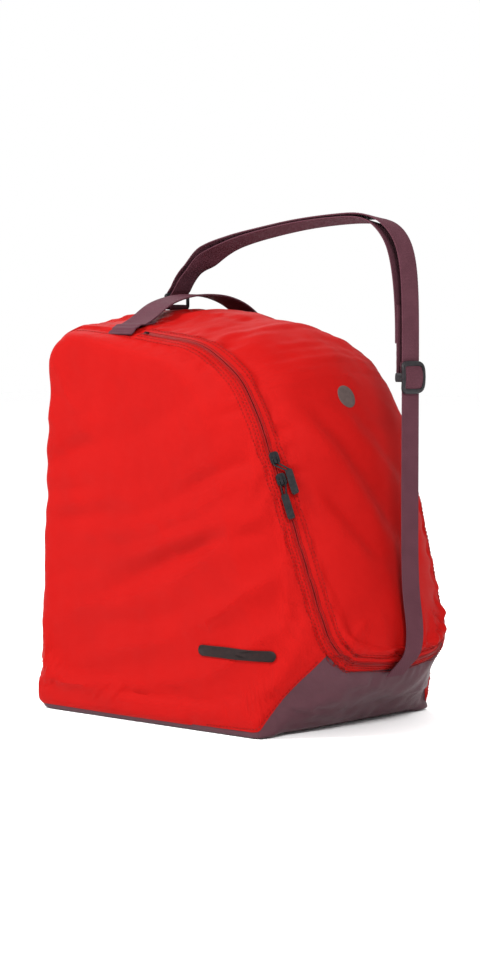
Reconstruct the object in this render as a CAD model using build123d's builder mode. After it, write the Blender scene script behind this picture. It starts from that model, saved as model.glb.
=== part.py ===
"""Ski boot bag: wedge-shaped fabric bag with a zipped front flap, a top carry handle and a shoulder strap.

Frame: +Z up, the flap faces -Y, +X is the right-hand side seen from the front.
The origin is the middle of the base on the ground. Millimetres.
"""

import os
from math import hypot

from build123d import *

# ---------------------------------------------------------------- driving dimensions
BAG_HALF_WIDTH = 130.0
PANEL = 3.0  # padded panel thickness
LINING_TOP = 3.3  # depth of the lining's two faces below the outer surface
LINING_BOTTOM = 4.1
TAPE_TOP = 0.8  # depth of the zipper tape's two faces
TAPE_BOTTOM = 2.0
COIL_TOP = 0.3  # depth of the coil's two faces
COIL_BOTTOM = 2.8

# Side-view outline at the middle of the bag, as (Y, Z) corners with a fillet radius each.
OUTLINE = [
    (-151, -0.4, 8),  # bottom front edge, before the underside is cut flat
    (-226, 80, 28),  # toe bulge
    (-177, 285, 120),
    (-140, 356, 60),
    (-75, 394, 90),
    (40, 402, 120),  # crown
    (128, 396, 50),
    (158, 376, 25),
    (160, 200, 300),
    (169, -0.4, 12),  # bottom rear edge
]
# How far the outline draws in at each distance from the middle plane.
STATION = [0, 45, 80, 105, 120, 130]
FRONT_IN = [0, 3, 14, 40, 56, 74]
TOP_IN = [0, 4, 10, 16, 20, 26]
REAR_IN = [0, 1, 2, 5, 8, 16]
FOOT_IN = [0, 0, 0, 0, 1, 3]
SHOULDER_DOWN = [0, 0, 0, 0, 8, 22]

# Zipper line in the front view: a U whose sides lean slightly outwards.
CHAIN_LOW_Z = 66.0
CHAIN_LOW_X = 84.7
CHAIN_BEND_Z = 285.0
CHAIN_HIGH_X = 103.0
CHAIN_CORNER = 40.0
TAPE_HALF = 9.5
COIL_HALF = 3.0
CHAIN_GAP = 0.5
HINGE_Y = 30.0
HINGE_GAP = 0.3

SEAM_X = 112.5  # top and back panel half width
SEAM_REAR_Y = 117.5
BASE_STRIP = 5.0
GUSSET_TOP_Z = 80.0
GUSSET_TOP_X = 88.0

WEBBING = 25.0
WEBBING_T = 1.5
HANDLE_W = 34.0
STRAP_Y = -220.5
RETURN_Y = -212.2
STRAP_SPLIT_Z = 257.0
BUCKLE_Z = 337.0
ARCH_END = Vector(0, 473.6)
RETURN_END = Vector(0, 471.4)
RING_Y = 84.0
RING_LOW_Z = 403.5
RING_HIGH_Z = 417.0
RING_R = 1.7

BOARD_TOP = 5.3
BOARD_Y = -5.0
BOARD_SIZE = (232.0, 280.0)
BOARD_CORNER = 30.0
LINING_FLOOR_TOP = 6.6
STOP = (3.0, 4.0, 1.4)
STOP_LIFT = 0.2
SLIDER_L = 12.0
SLIDER_W = 9.0
PULL_X = -1.0
PULL_Z = 2.85
GRIP_X = -14.0
CORD_BEND_X = -6.5
GRIP_L = 24.0
GRIP_T = 3.0
PLATE_DEPTH = 4.6
HANDLE_Y = 54.0
HANDLE_END_X = 90.0
HANDLE_LIFT = 2.4
HANDLE_CROWN_X = 22.0
HANDLE_CROWN_Z = 416.0
HANDLE_SHOULDER = (60, 407)
HANDLE_END_RUN = (HANDLE_END_X, 105, 112)  # X of the sewn end's bends
RING_HALF = 16.0
LOOP_LEG = 8.0
TAB_LIFT = 1.1
TAB_L = 28.0
END_GAP = 0.5  # clearance between two lengths of strap on different bodies
PATCH_LOW_Z = 36.0
PATCH_TOP_Z = 50.0
RETURN_LOW_Z = 369.0
BUCKLE_RAIL_X = 15.2
BUCKLE_BAR_R = 1.8
BUCKLE_BAR_Y = -216.3
FOLD_T = 1.2
FOLD_L = 68.0

SLIDER_UPPER_Z = 262.0
SLIDER_LOWER_Z = 242.0


# ---------------------------------------------------------------- helpers
def between(x, values):
    """Value of a station table at a distance x from the middle plane."""
    for low, high, a, b in zip(STATION, STATION[1:], values, values[1:]):
        if x <= high:
            return a + (b - a) * (x - low) / (high - low)
    return values[-1]


def station_corners(x):
    """Corners of the side-view outline at a distance x from the middle plane."""
    front, top, rear = between(x, FRONT_IN), between(x, TOP_IN), between(x, REAR_IN)
    foot, down = between(x, FOOT_IN), between(x, SHOULDER_DOWN)
    moves = [
        (foot, 0),
        (1.15 * front, 0),
        (1.2 * front, -down),
        (front, -1.3 * top),
        (0.6 * front, -1.6 * top),
        (0, -1.4 * top),
        (-1.2 * rear, -0.6 * top),
        (-rear, -0.5 * top),
        (-rear, 0),
        (-rear, 0),
    ]
    return [(y + dy, z + dz) for (y, z, _), (dy, dz) in zip(OUTLINE, moves)]


def toe_y(z):
    """How far forward the toe reaches at height z, between the ground and its bulge."""
    (low_y, low_z, _), (top_y, top_z, _) = OUTLINE[:2]
    return low_y + (top_y - low_y) * (z - low_z) / (top_z - low_z)


def drawn_in(corners, inset):
    """The same polygon with every side moved inwards; the corners run clockwise seen from +X."""
    sides = []
    for (y0, z0), (y1, z1) in zip(corners, corners[1:] + corners[:1]):
        length = hypot(y1 - y0, z1 - z0)
        normal = ((z1 - z0) / length, -(y1 - y0) / length)
        sides.append((*normal, normal[0] * y0 + normal[1] * z0 + inset))
    moved = []
    for (a, b, c), (d, e, f) in zip(sides[-1:] + sides[:-1], sides):
        det = a * e - b * d
        moved.append(((c * e - b * f) / det, (a * f - c * d) / det))
    return moved


def front_y(x, z):
    """Y of the flat front slope at a distance x from the middle plane."""
    corners = station_corners(x)
    (y0, z0), (y1, z1) = corners[1], corners[2]
    return y0 + (y1 - y0) * (z - z0) / (z1 - z0)


def chain_x(z):
    """Half width of the zipper line on its straight lower run."""
    share = (z - CHAIN_LOW_Z) / (CHAIN_BEND_Z - CHAIN_LOW_Z)
    return CHAIN_LOW_X + (CHAIN_HIGH_X - CHAIN_LOW_X) * share


def top_z(x, y):
    """Z of the top face at a distance x from the middle plane."""
    corners = station_corners(x)
    first = 4 if y < corners[5][0] else 5
    (y0, z0), (y1, z1) = corners[first], corners[first + 1]
    return z0 + (z1 - z0) * (y - y0) / (y1 - y0)


def chain_plane(z):
    """Plane on the left zipper line: x runs up the chain, y to the left, z out of the bag."""
    here = Vector(-chain_x(z), front_y(chain_x(z), z), z)
    above = Vector(-chain_x(z + 10), front_y(chain_x(z + 10), z + 10), z + 10)
    beside = Vector(-chain_x(z) - 1, front_y(chain_x(z) + 1, z), z)
    along = above - here
    return Plane(origin=here, x_dir=along, z_dir=along.cross(beside - here))


def bag_solid(inset):
    """The bag's full volume, drawn in by a wall depth: a ruled loft across the stations."""
    with BuildPart() as solid:
        for x in [-s for s in reversed(STATION[1:])] + STATION:
            place = x * (BAG_HALF_WIDTH - inset) / BAG_HALF_WIDTH
            with BuildSketch(Plane.YZ.offset(place)):
                with BuildLine():
                    radii = [r - inset for _, _, r in OUTLINE]
                    FilletPolyline(*drawn_in(station_corners(abs(x)), inset), radius=radii, close=True)
                make_face()
        loft(ruled=True)
        with Locations((0, 0, inset - 50)):
            Box(400, 600, 100, mode=Mode.SUBTRACT)
    return solid.part


def mouth_prism(grow, rear_y=HINGE_Y):
    """Everything inside the zipper line, grown sideways, from the front back to rear_y."""
    low, high = CHAIN_LOW_X + grow, CHAIN_HIGH_X + grow
    with BuildPart() as prism:
        with BuildSketch(Plane.XZ.offset(-rear_y)):
            with BuildLine():
                FilletPolyline(
                    (-high, 450),
                    (-high, CHAIN_BEND_Z),
                    (-low, CHAIN_LOW_Z - grow),
                    (low, CHAIN_LOW_Z - grow),
                    (high, CHAIN_BEND_Z),
                    (high, 450),
                    radius=[0, 0, CHAIN_CORNER + grow, CHAIN_CORNER + grow, 0, 0],
                    close=True,
                )
            make_face()
        extrude(amount=300)
    return prism.part


def block(low, high):
    """A plain box between two corners."""
    size = [b - a for a, b in zip(low, high)]
    with BuildPart() as made:
        with Locations(tuple((a + b) / 2 for a, b in zip(low, high))):
            Box(*size)
    return made.part


def gusset_prism():
    """The front region below the seams that run from the zipper's corners to the ground."""
    with BuildPart() as prism:
        with BuildSketch(Plane.XZ.offset(60)):
            with BuildLine():
                Polyline(
                    (-132, -5),
                    (-132, 2),
                    (-GUSSET_TOP_X, GUSSET_TOP_Z),
                    (GUSSET_TOP_X, GUSSET_TOP_Z),
                    (132, 2),
                    (132, -5),
                    close=True,
                )
            make_face()
        extrude(amount=250)
    return prism.part


def ribbon(path, corner, width=WEBBING, thickness=WEBBING_T):
    """A flat band that follows a side-view path."""
    with BuildPart() as band:
        with BuildSketch(Plane.YZ):
            with BuildLine():
                if corner:
                    FilletPolyline(*path, radius=corner)
                else:
                    Polyline(*path)
            trace(line_width=thickness)
        extrude(amount=width / 2, both=True)
    return band.part


def save(part, name):
    """Labels a finished piece and writes it."""
    part.label = name
    export_step(part, f"parts/{name}.step")


os.makedirs("parts", exist_ok=True)

# ---------------------------------------------------------------- volumes that cut the skin into panels
OUTER = bag_solid(0)
PANEL_CORE = bag_solid(PANEL)
MOUTH = mouth_prism(0)
MOUTH_TAPE_OUT = mouth_prism(TAPE_HALF)
MOUTH_TAPE_IN = mouth_prism(-TAPE_HALF, HINGE_Y - HINGE_GAP)
GUSSET = gusset_prism()
STRIP = block((-140, -240, -5), (140, 180, BASE_STRIP))
TOP_ZONE = block((-SEAM_X, HINGE_Y, 250), (SEAM_X, SEAM_REAR_Y, 420))
BACK_ZONE = block((-SEAM_X, SEAM_REAR_Y, -5), (SEAM_X, 180, 420))
LEFT_HALF = block((-140, -240, -5), (0, 180, 420))
RIGHT_HALF = block((0, -240, -5), (140, 180, 420))

with BuildPart() as skin:
    add(OUTER)
    add(PANEL_CORE, mode=Mode.SUBTRACT)

# ---------------------------------------------------------------- outer panels
for side, half in (("left", LEFT_HALF), ("right", RIGHT_HALF)):
    with BuildPart() as side_panel:
        add(skin.part)
        add(half, mode=Mode.INTERSECT)
        add([STRIP, GUSSET, MOUTH_TAPE_OUT, TOP_ZONE, BACK_ZONE], mode=Mode.SUBTRACT)
    save(side_panel.part, f"side_panel_{side}")

with BuildPart() as top_panel:
    add(skin.part)
    add(TOP_ZONE, mode=Mode.INTERSECT)
save(top_panel.part, "top_panel")

with BuildPart() as back_panel:
    add(skin.part)
    add(BACK_ZONE, mode=Mode.INTERSECT)
    add(STRIP, mode=Mode.SUBTRACT)
save(back_panel.part, "back_panel")

with BuildPart() as base_shell:
    add(skin.part)
    with BuildPart(mode=Mode.PRIVATE) as base_zone:
        add([STRIP, GUSSET])
    add(base_zone.part, mode=Mode.INTERSECT)
    add(MOUTH_TAPE_OUT, mode=Mode.SUBTRACT)
save(base_shell.part, "base_shell")

# ---------------------------------------------------------------- zippered flap
LINING_CORE = bag_solid(LINING_BOTTOM)
LINING_SKIN_OUT = bag_solid(LINING_TOP)
INSIDE = block((-140, -240, LINING_FLOOR_TOP + 0.3), (140, 180, 420))

with BuildPart() as lining_skin:
    add(LINING_SKIN_OUT)
    add(LINING_CORE, mode=Mode.SUBTRACT)
    add(INSIDE, mode=Mode.INTERSECT)

with BuildPart() as flap_panel:
    add(skin.part)
    add(MOUTH_TAPE_IN, mode=Mode.INTERSECT)
save(flap_panel.part, "flap_panel")

with BuildPart() as flap_lining:
    add(lining_skin.part)
    add(MOUTH_TAPE_IN, mode=Mode.INTERSECT)
save(flap_lining.part, "flap_lining")

# ---------------------------------------------------------------- linings, floor and stiffener
for side, half in (("left", LEFT_HALF), ("right", RIGHT_HALF)):
    with BuildPart() as side_lining:
        add(lining_skin.part)
        add(half, mode=Mode.INTERSECT)
        add([GUSSET, MOUTH_TAPE_OUT, TOP_ZONE, BACK_ZONE], mode=Mode.SUBTRACT)
    save(side_lining.part, f"lining_{side}")

for name, zone in (("lining_top", TOP_ZONE), ("lining_back", BACK_ZONE)):
    with BuildPart() as lining_piece:
        add(lining_skin.part)
        add(zone, mode=Mode.INTERSECT)
    save(lining_piece.part, name)

with BuildPart() as lining_toe:
    add(lining_skin.part)
    add(GUSSET, mode=Mode.INTERSECT)
    add(MOUTH_TAPE_OUT, mode=Mode.SUBTRACT)
save(lining_toe.part, "lining_toe")

for name, low, high in (
    ("base_board", LINING_TOP, BOARD_TOP),
    ("lining_floor", BOARD_TOP + 0.3, LINING_FLOOR_TOP),
):
    with BuildPart() as floor_piece:
        with BuildSketch(Plane.XY.offset(low)):
            with Locations((0, BOARD_Y)):
                RectangleRounded(*BOARD_SIZE, BOARD_CORNER)
        extrude(amount=high - low)
    save(floor_piece.part, name)

# ---------------------------------------------------------------- zipper: tapes, coils and stops
with BuildPart() as tape_band:
    add(bag_solid(TAPE_TOP))
    add(bag_solid(TAPE_BOTTOM), mode=Mode.SUBTRACT)

with BuildPart() as coil_band:
    add(bag_solid(COIL_TOP))
    add(bag_solid(COIL_BOTTOM), mode=Mode.SUBTRACT)

FLAP_REAR = HINGE_Y - HINGE_GAP
for name, band, outer_grow, inner_grow, rear in (
    ("zipper_tape_body", tape_band, TAPE_HALF, COIL_HALF, HINGE_Y),
    ("zipper_coil_body", coil_band, COIL_HALF, CHAIN_GAP, HINGE_Y),
    ("zipper_coil_flap", coil_band, -CHAIN_GAP, -COIL_HALF, FLAP_REAR),
    ("zipper_tape_flap", tape_band, -COIL_HALF, -TAPE_HALF, FLAP_REAR),
):
    with BuildPart() as strip_piece:
        add(mouth_prism(outer_grow, rear))
        add(mouth_prism(inner_grow, rear), mode=Mode.SUBTRACT)
        add(band.part, mode=Mode.INTERSECT)
    save(strip_piece.part, name)

with BuildPart() as zipper_end_stops:
    stop_x = CHAIN_HIGH_X + 2
    stop_y = HINGE_Y - 6
    stop_z = top_z(stop_x, HINGE_Y - 4) + STOP[2] / 2 + STOP_LIFT
    with Locations((-stop_x, stop_y, stop_z), (stop_x, stop_y, stop_z)):
        Box(*STOP)
save(zipper_end_stops.part, "zipper_end_stops")

# ---------------------------------------------------------------- zipper sliders and their pulls
TOP_PLATE = (0.95, 1.3)  # height of its middle over the chain, thickness
BRIDGE = (8, 2.4, 3.6)
BRIDGE_EYE = (5, 4, 2.3)
BRIDGE_Z = 3.2
WEB = (3, 0.5, 6.6)
CORD_R = 0.8
CORD_SPREAD = 2.4
GRIP_W = 7
GRIP_ENTRY = 1.6
for name, place, grip_y in (
    ("upper", SLIDER_UPPER_Z, -9.0),
    ("lower", SLIDER_LOWER_Z, 1.5),
):
    seat = chain_plane(place)
    with BuildPart(seat) as slider:
        with Locations((0, 0, TOP_PLATE[0])):
            Box(SLIDER_L, SLIDER_W, TOP_PLATE[1])
        fillet(slider.edges().filter_by(Axis(seat.origin, seat.z_dir)), 3)
        with Locations((0, 0.45, -PLATE_DEPTH)):
            Box(SLIDER_L, SLIDER_W / 2, 1)
        with Locations((PULL_X, 0, BRIDGE_Z)):
            Box(*BRIDGE)
        with Locations((PULL_X, 0, PULL_Z)):
            Box(*BRIDGE_EYE, mode=Mode.SUBTRACT)
    slot_out = (Vector(0, -1, 0) + seat.x_dir * seat.x_dir.Y).normalized()
    with BuildPart(Plane(origin=seat.origin, x_dir=seat.x_dir, z_dir=slot_out)) as web:
        with Locations((3, 0, -2.7)):
            Box(*WEB)
    with BuildPart() as whole_slider:
        add([slider.part, web.part])
    save(whole_slider.part, f"slider_{name}")

    with BuildPart(seat.offset(PULL_Z)) as pull:
        with BuildLine(seat.offset(PULL_Z)) as cord_line:
            FilletPolyline(
                (GRIP_X - 1, grip_y + GRIP_ENTRY),
                (CORD_BEND_X, CORD_SPREAD),
                (PULL_X, CORD_SPREAD),
                (PULL_X, -CORD_SPREAD),
                (CORD_BEND_X, -CORD_SPREAD),
                (GRIP_X - 1, grip_y - GRIP_ENTRY),
                radius=1,
            )
        with BuildSketch(Plane(cord_line.line @ 0, z_dir=cord_line.line % 0)):
            Circle(CORD_R)
        sweep()
        with BuildSketch(seat.offset(PULL_Z - GRIP_T / 2)):
            with Locations((GRIP_X - GRIP_L / 2, grip_y)):
                RectangleRounded(GRIP_L, GRIP_W, 2)
        extrude(amount=GRIP_T)
    save(pull.part, f"pull_{name}")

# ---------------------------------------------------------------- carry handle
for side, sign in (("left", -1), ("right", 1)):
    with BuildPart() as handle_end:
        with BuildSketch(Plane.XZ.offset(-HANDLE_Y)):
            with BuildLine():
                Polyline([(sign * x, top_z(x, HANDLE_Y) + HANDLE_LIFT) for x in HANDLE_END_RUN])
            trace(line_width=WEBBING_T)
        extrude(amount=HANDLE_W / 2, both=True)
    save(handle_end.part, f"handle_end_{side}")

with BuildPart() as carry_handle:
    with BuildSketch(Plane.XZ.offset(-HANDLE_Y)):
        with BuildLine():
            foot_z = top_z(HANDLE_END_X, HANDLE_Y) + HANDLE_LIFT
            FilletPolyline(
                (-HANDLE_END_X + HINGE_GAP, foot_z),
                (-HANDLE_SHOULDER[0], HANDLE_SHOULDER[1]),
                (-HANDLE_CROWN_X, HANDLE_CROWN_Z),
                (HANDLE_CROWN_X, HANDLE_CROWN_Z),
                HANDLE_SHOULDER,
                (HANDLE_END_X - HINGE_GAP, foot_z),
                radius=[40, 60, 60, 40],
            )
        trace(line_width=WEBBING_T)
    extrude(amount=HANDLE_W / 2, both=True)
save(carry_handle.part, "carry_handle")

# ---------------------------------------------------------------- strap ring and its anchor tab
with BuildPart() as strap_ring:
    with BuildSketch(Plane.XZ.offset(-RING_Y)):
        with Locations((0, (RING_LOW_Z + RING_HIGH_Z) / 2)):
            RectangleRounded(2 * (RING_HALF + RING_R), RING_HIGH_Z - RING_LOW_Z + 2 * RING_R, 4)
            RectangleRounded(
                2 * (RING_HALF - RING_R), RING_HIGH_Z - RING_LOW_Z - 2 * RING_R, 1, mode=Mode.SUBTRACT
            )
    extrude(amount=RING_R, both=True)
    fillet(strap_ring.edges(Select.LAST).filter_by(Plane.XZ), 1.5)
save(strap_ring.part, "strap_ring")

with BuildPart() as strap_anchor_tab:
    add(ribbon([(y, top_z(0, y) + TAB_LIFT) for y in (RING_Y, RING_Y + TAB_L)], 0))
    with BuildSketch(Plane.YZ):
        with Locations((RING_Y, RING_LOW_Z)):
            Circle(RING_R + 0.3 + WEBBING_T)
    extrude(amount=WEBBING / 2, both=True)
    with BuildSketch(Plane.YZ):
        with Locations((RING_Y, RING_LOW_Z)):
            Circle(RING_R + 0.3)
    extrude(amount=WEBBING / 2, both=True, mode=Mode.SUBTRACT)
save(strap_anchor_tab.part, "strap_anchor_tab")

# ---------------------------------------------------------------- shoulder strap
LEG = Vector(-0.66, 0.751)  # direction of the strap as it leaves the ring, in the side view
SIDE = Vector(0.751, 0.66)
RING_TOP = Vector(RING_Y, RING_HIGH_Z)
LOOP_R = RING_R + WEBBING_T / 2 + 0.1
OUTER_LEG = RING_TOP + SIDE * LOOP_R
INNER_LEG = RING_TOP - SIDE * LOOP_R

with BuildPart() as strap_loop:
    with BuildSketch(Plane.YZ):
        with BuildLine():
            Line(OUTER_LEG + LEG * LOOP_LEG, OUTER_LEG)
            ThreePointArc(OUTER_LEG, RING_TOP - LEG * LOOP_R, INNER_LEG)
            Line(INNER_LEG, INNER_LEG + LEG * LOOP_LEG)
        trace(line_width=WEBBING_T)
    extrude(amount=WEBBING / 2, both=True)
save(strap_loop.part, "strap_loop")

PATCH_OUT = Vector(-0.80, -0.75)
PATCH_TOP = Vector(toe_y(PATCH_TOP_Z), PATCH_TOP_Z) + PATCH_OUT
PATCH_LOW = Vector(toe_y(PATCH_LOW_Z), PATCH_LOW_Z) + PATCH_OUT

REAR_START = Vector(END_GAP, -0.15)
STRAP_PARTS = {
    "strap_base_patch": ([PATCH_LOW, PATCH_TOP], 0),
    "strap_front_end": (
        [PATCH_TOP, (-224.9, 77), (-224.9, 97), (STRAP_Y, 140), (STRAP_Y, STRAP_SPLIT_Z - END_GAP)],
        12,
    ),
    "strap_run": (
        [(STRAP_Y, STRAP_SPLIT_Z), (STRAP_Y, 440), (-205, 476), (-165, 491), (-84.5, 486), ARCH_END],
        14,
    ),
    "strap_return": (
        [(RETURN_Y, RETURN_LOW_Z), (RETURN_Y, 436), (-199, 467), (-163, 487.5), (-84.5, 483.6), RETURN_END],
        12,
    ),
    "strap_rear_end": (
        [ARCH_END + REAR_START, (40, 461), (66, 441), OUTER_LEG + LEG * (LOOP_LEG + END_GAP)],
        14,
    ),
    "strap_rear_return": (
        [RETURN_END + REAR_START, (31, 456.5), (57, 440), INNER_LEG + LEG * (LOOP_LEG + END_GAP)],
        14,
    ),
}
for name, (path, corner) in STRAP_PARTS.items():
    save(ribbon(path, corner), name)

# ---------------------------------------------------------------- adjuster buckle
with BuildPart() as tri_glide:
    for x in (-BUCKLE_RAIL_X, BUCKLE_RAIL_X):
        with Locations((x, STRAP_Y + 1.2, BUCKLE_Z)):
            Box(3.6, 10.5, 32)
    for z in (-14, 14):
        with Locations((0, STRAP_Y - 2.45, BUCKLE_Z + z)):
            Box(2 * BUCKLE_RAIL_X, 3.1, 4)
    with Locations((0, BUCKLE_BAR_Y, BUCKLE_Z)):
        Cylinder(BUCKLE_BAR_R, 2 * BUCKLE_RAIL_X, rotation=(0, 90, 0))
    fillet(tri_glide.edges().filter_by(Axis.Y).group_by(SortBy.LENGTH)[-1], 1.5)
save(tri_glide.part, "tri_glide")

with BuildPart() as strap_fold:
    loop = BUCKLE_BAR_R + 0.1 + FOLD_T / 2
    with BuildSketch(Plane.YZ):
        with BuildLine():
            Line((BUCKLE_BAR_Y - loop, BUCKLE_Z + 14), (BUCKLE_BAR_Y - loop, BUCKLE_Z))
            ThreePointArc(
                (BUCKLE_BAR_Y - loop, BUCKLE_Z),
                (BUCKLE_BAR_Y, BUCKLE_Z - loop),
                (BUCKLE_BAR_Y + loop, BUCKLE_Z),
            )
            Line((BUCKLE_BAR_Y + loop, BUCKLE_Z), (BUCKLE_BAR_Y + loop, BUCKLE_Z + FOLD_L))
        trace(line_width=FOLD_T)
    extrude(amount=WEBBING / 2, both=True)
save(strap_fold.part, "strap_fold")
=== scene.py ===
"""Ski boot bag: fabric skin cut into sewn panels, zipper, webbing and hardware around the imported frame."""

import math

import bpy
import numpy as np
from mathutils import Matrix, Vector
from mathutils.bvhtree import BVHTree
from mathutils.kdtree import KDTree


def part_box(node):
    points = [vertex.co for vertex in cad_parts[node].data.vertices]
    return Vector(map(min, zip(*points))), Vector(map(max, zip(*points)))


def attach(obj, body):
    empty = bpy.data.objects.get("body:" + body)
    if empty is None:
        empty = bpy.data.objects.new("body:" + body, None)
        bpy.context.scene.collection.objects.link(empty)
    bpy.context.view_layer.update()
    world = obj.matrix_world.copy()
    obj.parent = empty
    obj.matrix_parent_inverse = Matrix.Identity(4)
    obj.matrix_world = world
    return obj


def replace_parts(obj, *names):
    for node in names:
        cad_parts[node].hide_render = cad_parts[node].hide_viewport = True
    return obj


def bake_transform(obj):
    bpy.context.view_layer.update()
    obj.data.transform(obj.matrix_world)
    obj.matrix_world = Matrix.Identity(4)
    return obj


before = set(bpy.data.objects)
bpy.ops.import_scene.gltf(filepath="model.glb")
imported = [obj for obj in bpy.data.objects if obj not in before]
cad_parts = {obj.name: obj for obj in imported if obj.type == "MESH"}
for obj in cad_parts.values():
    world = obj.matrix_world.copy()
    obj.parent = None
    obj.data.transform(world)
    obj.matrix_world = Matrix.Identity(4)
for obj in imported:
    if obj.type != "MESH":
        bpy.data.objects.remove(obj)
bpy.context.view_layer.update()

# ---------------------------------------------------------------- sizes, in metres
MM = 0.001
CENTRE_Y, CENTRE_Z = -0.020, 0.190  # middle of the side view
CENTRE = np.array([0, CENTRE_Y, CENTRE_Z])
SIDE_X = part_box("side_panel_right")[1].x
RINGS_CAP = 44  # the skin's grid: rings on each side, stations across, points around
STATIONS = 100
AROUND = 440
SMOOTH_MIDDLE, SMOOTH_ALL = 60, 9  # rounds of averaging between the sides, then everywhere
HINGE_Y = 0.030
CHAIN_LOW = (0.0847, 0.066)  # zipper line in the front view: half width and height of its lower corner
CHAIN_HIGH = (0.103, 0.285)
CHAIN_CORNER = 0.040
TAPE_HALF = 9.5 * MM
SEAM_REAR_Y = 0.1175
STRIP_Z = 5 * MM
GUSSET_LOW = (0.132, 0.002)
GUSSET_TOP = (0.088, 0.080)
WEBBING = 0.025
WEBBING_T = 1.5 * MM
STRAP_Y = -0.2205  # the strap's straight rise in front of the bag
SHARP = math.radians(50)
DRAPE_FRAMES = 22
DRAPE_LIMIT = 6 * MM
TOE_TUCK = 6.5 * MM
WAVES = 14


# ---------------------------------------------------------------- small helpers
def unit(v):
    """Rows scaled to length 1."""
    return v / np.maximum(np.linalg.norm(v, axis=-1, keepdims=True), 1e-12)


def band_noise(points, wavelength, seed):
    """Smooth seeded noise made of plane waves of about one wavelength, roughly -1 to 1."""
    own = np.random.default_rng(seed)
    ways = unit(own.normal(size=(WAVES, 3)))
    scale = 2 * math.pi / (wavelength * own.uniform(0.7, 1.5, WAVES))
    phase = own.uniform(0, 2 * math.pi, WAVES)
    return np.cos((points @ ways.T) * scale + phase).sum(-1) / math.sqrt(WAVES)


def bump(x, width):
    """A bell: 1 at x = 0, fading out over about one width."""
    return np.exp(-((x / width) ** 2))


def ramp(t):
    """A smooth step from 0 to 1 over t from 0 to 1."""
    t = np.clip(t, 0, 1)
    return t * t * (3 - 2 * t)


def run_lengths(points):
    """How far along a polyline each of its points lies."""
    return np.concatenate([[0], np.cumsum(np.linalg.norm(np.diff(points, axis=0), axis=1))])


def rows_at(at, known, rows):
    """Rows given at known places along their first axis, read at other places."""
    read = [np.interp(at, known, column) for column in rows.reshape(len(rows), -1).T]
    return np.stack(read, 1).reshape(len(at), *rows.shape[1:])


def ring_quads(rows, count, closed=False):
    """Quads between each ring of count points and the next; closed joins the last ring to the first."""
    quads = []
    for i in range(rows if closed else rows - 1):
        j = (i + 1) % rows
        for k in range(count):
            n = (k + 1) % count
            quads.append([i * count + k, i * count + n, j * count + n, j * count + k])
    return quads


def end_caps(rows, count):
    """The two faces that close a swept shape at its ends."""
    last = (rows - 1) * count
    return [list(range(count))[::-1], [last + k for k in range(count)]]


def bvh_of(vertices, faces):
    return BVHTree.FromPolygons([Vector(v) for v in vertices], [tuple(f) for f in faces])


def new_object(name, vertices, faces, material, uv=None):
    """A mesh object from arrays, with an optional UV pair per vertex, in metres."""
    mesh = bpy.data.meshes.new(name)
    mesh.from_pydata([tuple(v) for v in vertices], [], [tuple(int(i) for i in f) for f in faces])
    if uv is not None:
        layer = mesh.uv_layers.new(name="UVMap")
        corner = np.zeros(len(mesh.loops), np.int32)
        mesh.loops.foreach_get("vertex_index", corner)
        layer.data.foreach_set("uv", np.asarray(uv, np.float32)[corner].ravel())
    mesh.polygons.foreach_set("use_smooth", [True] * len(mesh.polygons))
    mesh.validate()
    mesh.update()
    made = bpy.data.objects.new(name, mesh)
    bpy.context.scene.collection.objects.link(made)
    made.data.materials.append(material)
    return made


def joined_object(name, parts, material):
    """One mesh object from several (vertices, faces) pairs."""
    vertices, faces, start = [], [], 0
    for v, f in parts:
        vertices.append(v)
        faces.extend([[i + start for i in face] for face in f])
        start += len(v)
    return new_object(name, np.vstack(vertices), faces, material)


# ---------------------------------------------------------------- materials
CLOTH_SPECULAR = 0.04
PLASTIC_SPECULAR = 0.10
WEAVE_TONE, CLOUD_TONE, FUZZ_TONE, BASE_TONE = 0.35, 0.38, 0.16, 0.15  # shares of each in the dye's tone


def shader(name, rough, **inputs):
    """A new material with its node tree and its Principled shader."""
    material = bpy.data.materials.new(name)
    material.use_nodes = True
    tree = material.node_tree
    principled = tree.nodes["Principled BSDF"]
    principled.inputs["Roughness"].default_value = rough
    for key, value in inputs.items():
        principled.inputs[key.replace("_", " ")].default_value = value
    return material, tree, principled


def node(tree, kind, **settings):
    made = tree.nodes.new(kind)
    for key, value in settings.items():
        if hasattr(made, key):
            setattr(made, key, value)
        else:
            made.inputs[key.replace("_", " ")].default_value = value
    return made


def math_node(tree, operation, *values):
    """The result of one Math node; each value is a socket or a number."""
    made = node(tree, "ShaderNodeMath", operation=operation)
    for socket, value in zip(made.inputs, values):
        if isinstance(value, float):
            socket.default_value = value
        else:
            tree.links.new(value, socket)
    return made.outputs[0]


def noise(tree, place, **settings):
    made = node(tree, "ShaderNodeTexNoise", **settings)
    tree.links.new(place, made.inputs["Vector"])
    return made.outputs["Fac"]


def finish_shader(tree, principled, colours, gloss, relief):
    """Links colour (factor, dark, light), gloss (factor, low, high) and relief (height, strength, depth)."""
    factor, dark, light = colours
    blend = node(tree, "ShaderNodeValToRGB")
    for element, colour, position in zip(blend.color_ramp.elements, (dark, light), (0.3, 0.7)):
        element.color = (*colour, 1)
        element.position = position
    tree.links.new(factor, blend.inputs["Fac"])
    tree.links.new(blend.outputs["Color"], principled.inputs["Base Color"])
    factor, low, high = gloss
    rough_map = node(tree, "ShaderNodeMapRange", To_Min=low, To_Max=high)
    tree.links.new(factor, rough_map.inputs["Value"])
    tree.links.new(rough_map.outputs[0], principled.inputs["Roughness"])
    height, strength, depth = relief
    raised = node(tree, "ShaderNodeBump", Strength=strength, Distance=depth)
    tree.links.new(height, raised.inputs["Height"])
    tree.links.new(raised.outputs[0], principled.inputs["Normal"])


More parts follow.
